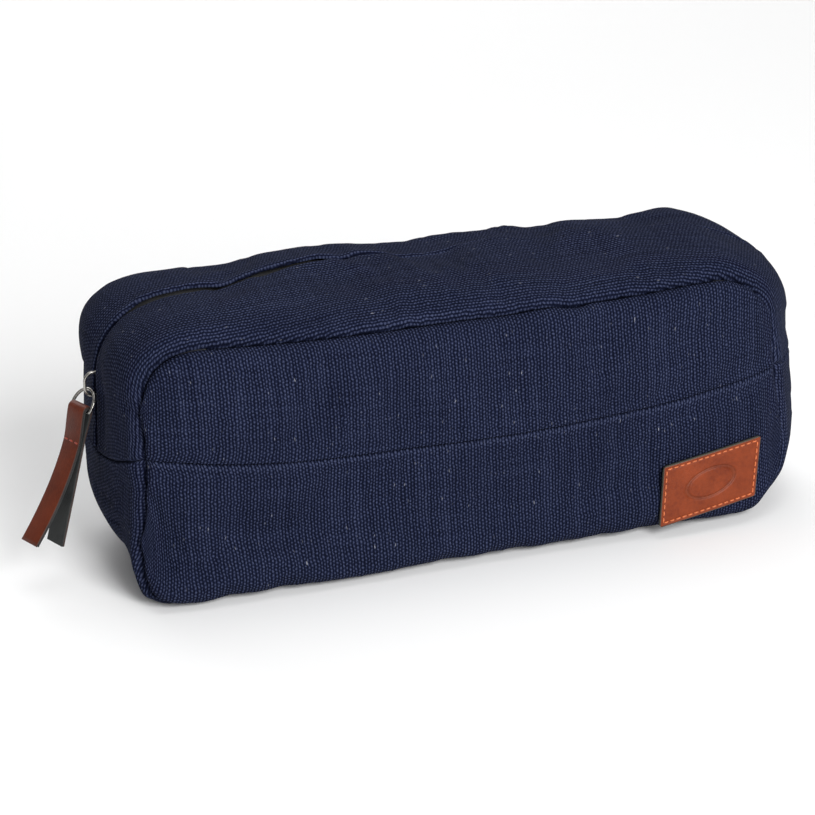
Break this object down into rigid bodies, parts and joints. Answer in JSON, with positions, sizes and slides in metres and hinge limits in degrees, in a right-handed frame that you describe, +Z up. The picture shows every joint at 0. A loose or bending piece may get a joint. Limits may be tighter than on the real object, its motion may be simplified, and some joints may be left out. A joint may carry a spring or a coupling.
{
  "type": "shaving kit bag",
  "caption": "Zipped canvas wash bag for shaving gear, with a boxy gusseted body, a concealed zip over the top, a folded leather zip pull and a small sewn leather label",
  "frame": {"origin": "centre of the flat underside that the bag stands on", "axes": "+X along the bag towards the labelled end, away from the zip pull; -Y is the front panel with the label; +Z up"},
  "size_m": [0.3065, 0.091, 0.1079],
  "materials": {
    "canvas": "dark navy duck canvas, plain weave, matt with a soft sheen and a few pale slubs",
    "lining": "dark grey-blue cotton lining, fine plain weave",
    "binding": "navy twill binding tape",
    "zip_tape": "navy woven zip tape, herringbone",
    "zip_coil": "dark navy nylon coil",
    "nickel": "polished nickel plate with light handling marks",
    "label_leather": "smooth orange-brown vegetable-tanned leather, grey cut edge, blind stamped motif",
    "strap_leather": "orange-brown leather with fine grain and a darker cut edge",
    "strap_backing": "dark grey woven backing",
    "thread": "orange-brown twisted sewing thread"
  },
  "bodies": {
    "base": {"front_panel_lower": "canvas", "back_panel_lower": "canvas", "bottom_gusset": "canvas", "front_lining_lower": "lining", "back_lining_lower": "lining", "bottom_gusset_lining": "lining", "front_seam_binding_lower": "binding", "back_seam_binding_lower": "binding", "zip_bottom_stop": "nickel", "label": "label_leather", "label_stitching": "thread"},
    "front_mouth": {"front_panel_upper": "canvas", "front_lining_upper": "lining", "front_seam_binding_upper": "binding", "zip_gusset_front": "canvas", "zip_tape_front": "zip_tape", "zip_coil_front": "zip_coil", "zip_top_stop_front": "nickel"},
    "back_mouth": {"back_panel_upper": "canvas", "back_lining_upper": "lining", "back_seam_binding_upper": "binding", "zip_gusset_back": "canvas", "zip_tape_back": "zip_tape", "zip_coil_back": "zip_coil", "zip_top_stop_back": "nickel"},
    "slider": {"zip_slider_body": "nickel", "zip_slider_bail": "nickel"},
    "ring": {"pull_ring": "nickel"},
    "strap": {"pull_strap_leather": "strap_leather", "pull_strap_backing": "strap_backing", "pull_strap_stitching": "thread"}
  },
  "joints": [
    {"name": "mouth_open", "type": "hinge", "parent": "base", "child": "front_mouth", "pos_m": [0, -0.0455, 0.055], "axis": [1, 0, 0], "range_deg": [0, 30]},
    {"name": "mouth_open_back", "type": "hinge", "parent": "base", "child": "back_mouth", "pos_m": [0, 0.0455, 0.055], "axis": [-1, 0, 0], "range_deg": [0, 30]},
    {"name": "zip_travel", "type": "hinge", "parent": "back_mouth", "child": "slider", "pos_m": [-0.105, 0, 0.075], "axis": [0, 1, 0], "range_deg": [0, 90]},
    {"name": "ring_swing", "type": "hinge", "parent": "slider", "child": "ring", "pos_m": [-0.14043, 0, 0.07137], "axis": [-0.3584, 0.9336, 0], "range_deg": [-8, 35]},
    {"name": "strap_swing", "type": "hinge", "parent": "ring", "child": "strap", "pos_m": [-0.14389, -0.00133, 0.06607], "axis": [-0.3584, 0.9336, 0], "range_deg": [-3, 60]}
  ],
  "couplings": [
    {"joint": "mouth_open_back", "follows": "mouth_open", "ratio": 1}
  ]
}
